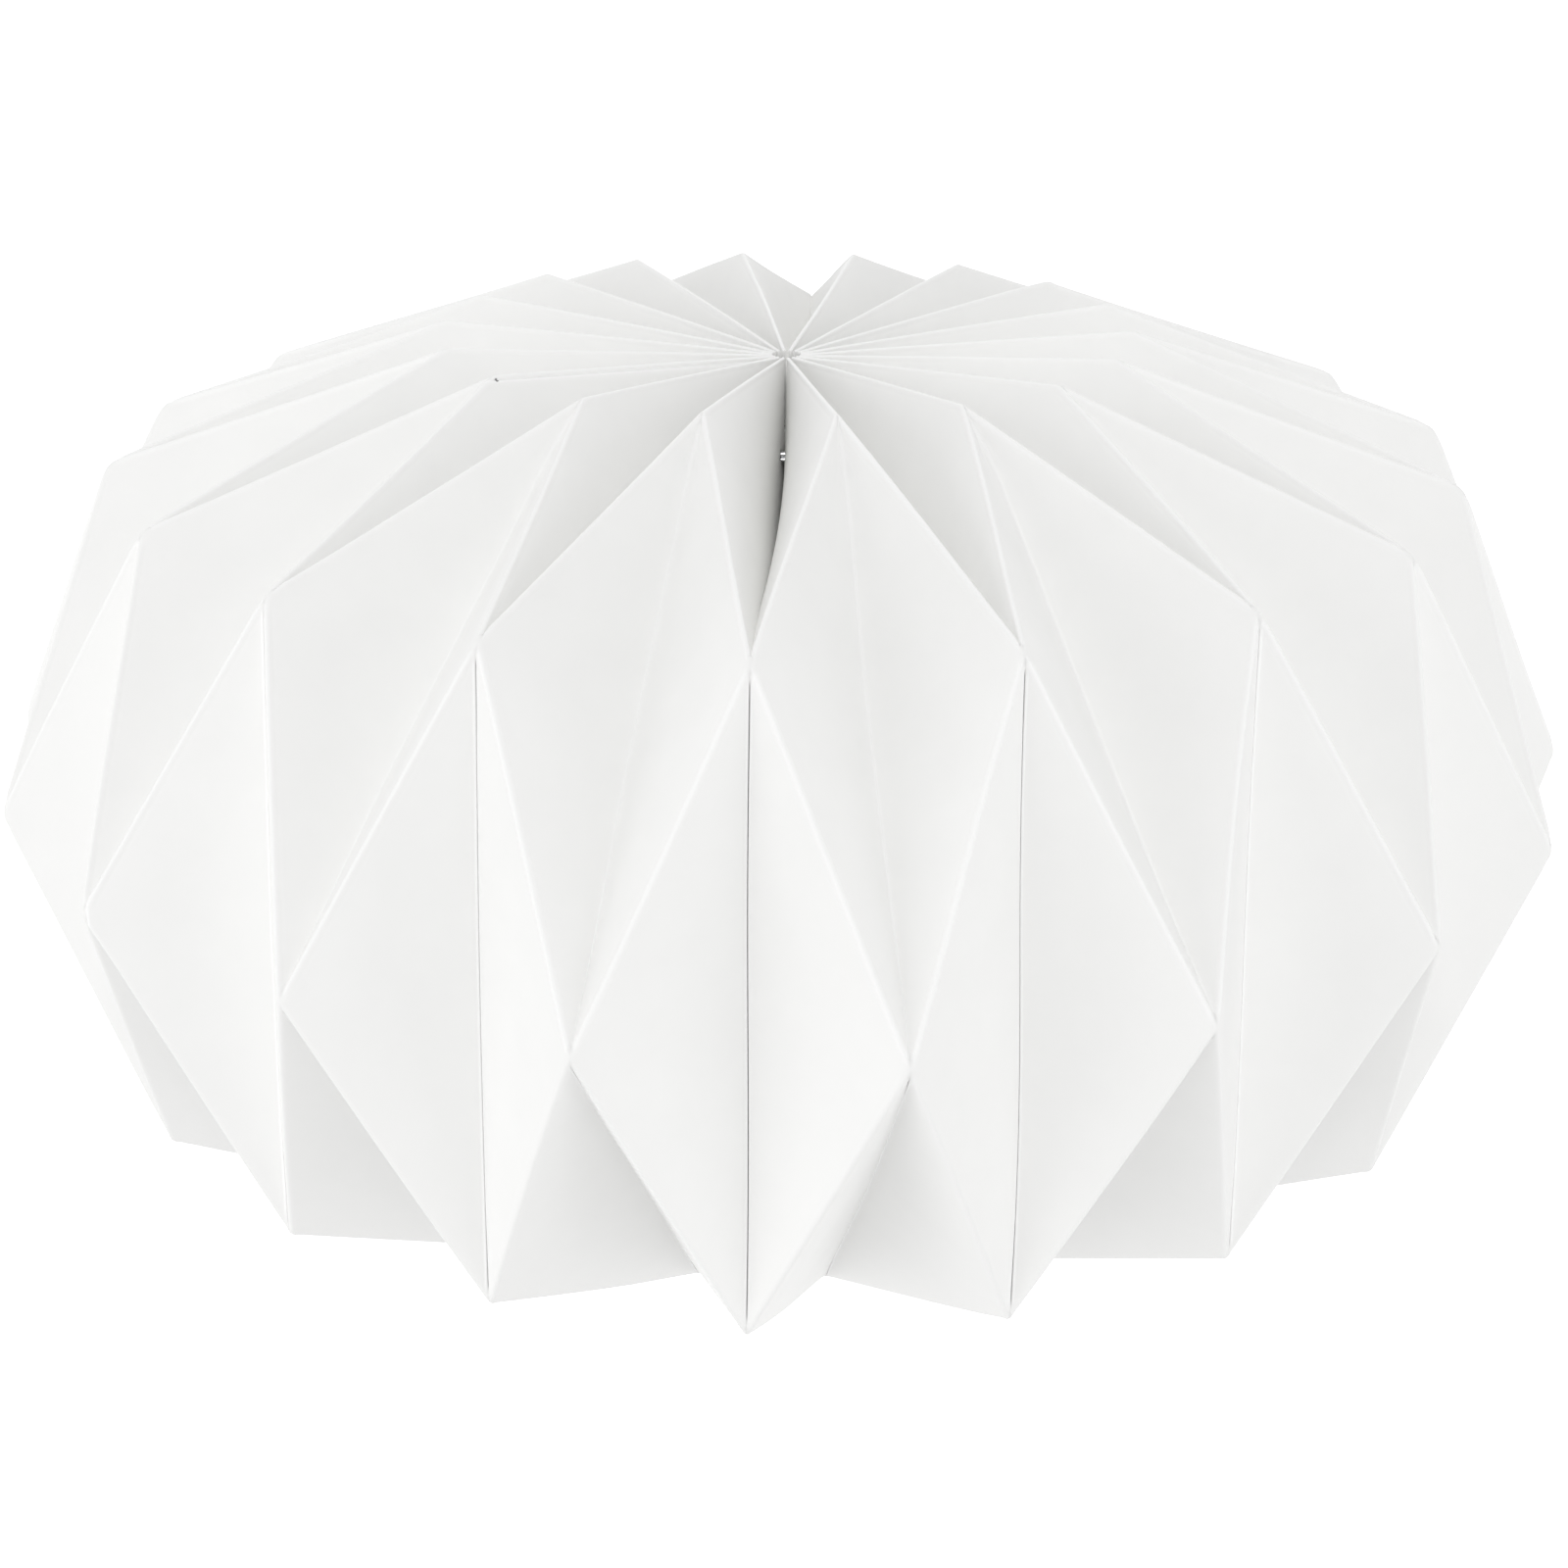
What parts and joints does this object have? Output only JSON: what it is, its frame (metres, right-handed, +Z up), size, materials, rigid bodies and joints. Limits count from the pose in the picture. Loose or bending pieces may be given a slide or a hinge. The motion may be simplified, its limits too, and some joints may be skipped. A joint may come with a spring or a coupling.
{
  "type": "pleated lantern shade",
  "caption": "Round lantern shade folded from scored white paper in vertical pleats with diamond facets, gathered on a steel split ring at the top and open below.",
  "frame": {"origin": "centre of the split ring that gathers the pleats, where the lantern hangs on its cable", "axes": "+Z up along the shade's axis, out of the top opening; -Y along the valley between pleat 18 and pleat 1"},
  "size_m": [0.3998, 0.3938, 0.2196],
  "materials": {
    "paper": "matte",
    "lap_paper": "matte",
    "ring_steel": "polished"
  },
  "bodies": {
    "ring": {"split_ring": "ring_steel"},
    "pleat_01": {"pleat_01": "paper"},
    "pleat_02": {"pleat_02": "paper"},
    "pleat_03": {"pleat_03": "paper"},
    "pleat_04": {"pleat_04": "paper"},
    "pleat_05": {"pleat_05": "paper"},
    "pleat_06": {"pleat_06": "paper"},
    "pleat_07": {"pleat_07": "paper", "glued_lap_back": "lap_paper"},
    "pleat_08": {"pleat_08": "paper"},
    "pleat_09": {"pleat_09": "paper"},
    "pleat_10": {"pleat_10": "paper"},
    "pleat_11": {"pleat_11": "paper"},
    "pleat_12": {"pleat_12": "paper"},
    "pleat_13": {"pleat_13": "paper"},
    "pleat_14": {"pleat_14": "paper"},
    "pleat_15": {"pleat_15": "paper"},
    "pleat_16": {"pleat_16": "paper", "glued_lap_front": "lap_paper"},
    "pleat_17": {"pleat_17": "paper"},
    "pleat_18": {"pleat_18": "paper"}
  },
  "joints": [
    {"name": "flare", "type": "hinge", "parent": "ring", "child": "pleat_01", "pos_m": [0.0026, -0.01477, 0], "axis": [-0.9848, -0.1736, 0], "range_deg": [0, 3], "stiffness_Nm_per_rad": 0.3},
    {"name": "flare_02", "type": "hinge", "parent": "ring", "child": "pleat_02", "pos_m": [0.0075, -0.01299, 0], "axis": [-0.866, -0.5, 0], "range_deg": [0, 3]},
    {"name": "flare_03", "type": "hinge", "parent": "ring", "child": "pleat_03", "pos_m": [0.01149, -0.00964, 0], "axis": [-0.6428, -0.766, 0], "range_deg": [0, 3]},
    {"name": "flare_04", "type": "hinge", "parent": "ring", "child": "pleat_04", "pos_m": [0.0141, -0.00513, 0], "axis": [-0.342, -0.9397, 0], "range_deg": [0, 3]},
    {"name": "flare_05", "type": "hinge", "parent": "ring", "child": "pleat_05", "pos_m": [0.015, 0, 0], "axis": [0, -1, 0], "range_deg": [0, 3]},
    {"name": "flare_06", "type": "hinge", "parent": "ring", "child": "pleat_06", "pos_m": [0.0141, 0.00513, 0], "axis": [0.342, -0.9397, 0], "range_deg": [0, 3]},
    {"name": "flare_07", "type": "hinge", "parent": "ring", "child": "pleat_07", "pos_m": [0.01149, 0.00964, 0], "axis": [0.6428, -0.766, 0], "range_deg": [0, 3]},
    {"name": "flare_08", "type": "hinge", "parent": "ring", "child": "pleat_08", "pos_m": [0.0075, 0.01299, 0], "axis": [0.866, -0.5, 0], "range_deg": [0, 3]},
    {"name": "flare_09", "type": "hinge", "parent": "ring", "child": "pleat_09", "pos_m": [0.0026, 0.01477, 0], "axis": [0.9848, -0.1736, 0], "range_deg": [0, 3]},
    {"name": "flare_10", "type": "hinge", "parent": "ring", "child": "pleat_10", "pos_m": [-0.0026, 0.01477, 0], "axis": [0.9848, 0.1736, 0], "range_deg": [0, 3]},
    {"name": "flare_11", "type": "hinge", "parent": "ring", "child": "pleat_11", "pos_m": [-0.0075, 0.01299, 0], "axis": [0.866, 0.5, 0], "range_deg": [0, 3]},
    {"name": "flare_12", "type": "hinge", "parent": "ring", "child": "pleat_12", "pos_m": [-0.01149, 0.00964, 0], "axis": [0.6428, 0.766, 0], "range_deg": [0, 3]},
    {"name": "flare_13", "type": "hinge", "parent": "ring", "child": "pleat_13", "pos_m": [-0.0141, 0.00513, 0], "axis": [0.342, 0.9397, 0], "range_deg": [0, 3]},
    {"name": "flare_14", "type": "hinge", "parent": "ring", "child": "pleat_14", "pos_m": [-0.015, 0, 0], "axis": [0, 1, 0], "range_deg": [0, 3]},
    {"name": "flare_15", "type": "hinge", "parent": "ring", "child": "pleat_15", "pos_m": [-0.0141, -0.00513, 0], "axis": [-0.342, 0.9397, 0], "range_deg": [0, 3]},
    {"name": "flare_16", "type": "hinge", "parent": "ring", "child": "pleat_16", "pos_m": [-0.01149, -0.00964, 0], "axis": [-0.6428, 0.766, 0], "range_deg": [0, 3]},
    {"name": "flare_17", "type": "hinge", "parent": "ring", "child": "pleat_17", "pos_m": [-0.0075, -0.01299, 0], "axis": [-0.866, 0.5, 0], "range_deg": [0, 3]},
    {"name": "flare_18", "type": "hinge", "parent": "ring", "child": "pleat_18", "pos_m": [-0.0026, -0.01477, 0], "axis": [-0.9848, 0.1736, 0], "range_deg": [0, 3]}
  ],
  "couplings": [
    {"joint": "flare_02", "follows": "flare", "ratio": 1},
    {"joint": "flare_03", "follows": "flare", "ratio": 1},
    {"joint": "flare_04", "follows": "flare", "ratio": 1},
    {"joint": "flare_05", "follows": "flare", "ratio": 1},
    {"joint": "flare_06", "follows": "flare", "ratio": 1},
    {"joint": "flare_07", "follows": "flare", "ratio": 1},
    {"joint": "flare_08", "follows": "flare", "ratio": 1},
    {"joint": "flare_09", "follows": "flare", "ratio": 1},
    {"joint": "flare_10", "follows": "flare", "ratio": 1},
    {"joint": "flare_11", "follows": "flare", "ratio": 1},
    {"joint": "flare_12", "follows": "flare", "ratio": 1},
    {"joint": "flare_13", "follows": "flare", "ratio": 1},
    {"joint": "flare_14", "follows": "flare", "ratio": 1},
    {"joint": "flare_15", "follows": "flare", "ratio": 1},
    {"joint": "flare_16", "follows": "flare", "ratio": 1},
    {"joint": "flare_17", "follows": "flare", "ratio": 1},
    {"joint": "flare_18", "follows": "flare", "ratio": 1}
  ]
}
